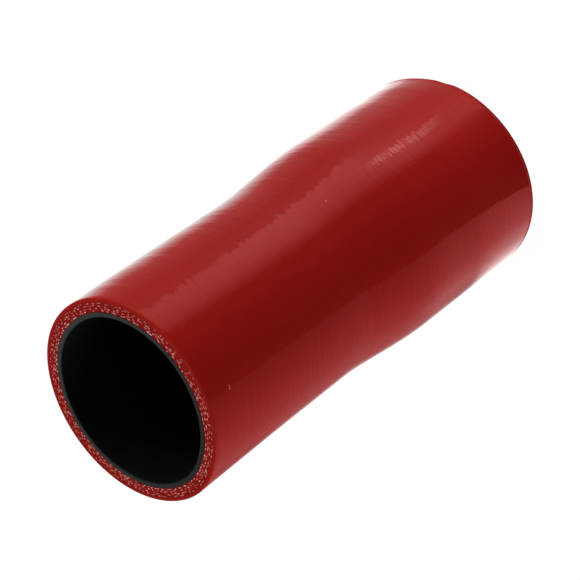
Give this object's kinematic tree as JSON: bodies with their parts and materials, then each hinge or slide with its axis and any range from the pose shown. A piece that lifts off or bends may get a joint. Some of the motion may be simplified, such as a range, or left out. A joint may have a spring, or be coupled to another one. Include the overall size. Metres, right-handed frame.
{
  "type": "silicone hose coupler",
  "caption": "Straight reducing hose coupler: a fabric-reinforced silicone sleeve that flares smoothly from a narrow end to a wide end, with both ends cut square.",
  "frame": {"origin": "centre of the wide end's cut face, which is the face that the coupler stands on", "axes": "+Z along the bore, from the wide end to the narrow end; X and Y square to it, with no preferred direction because the coupler is round"},
  "size_m": [0.06, 0.06, 0.135],
  "materials": {
    "liner_rubber": "satin dark grey liner, near black in the bore",
    "ply_rubber": "matt cut face of red silicone with pale yarn ends",
    "cover_silicone": "glossy red silicone with faint wrap lines"
  },
  "bodies": {
    "root": {"inner_liner": "liner_rubber", "fabric_reinforcement": "ply_rubber", "outer_cover": "cover_silicone"}
  },
  "joints": []
}
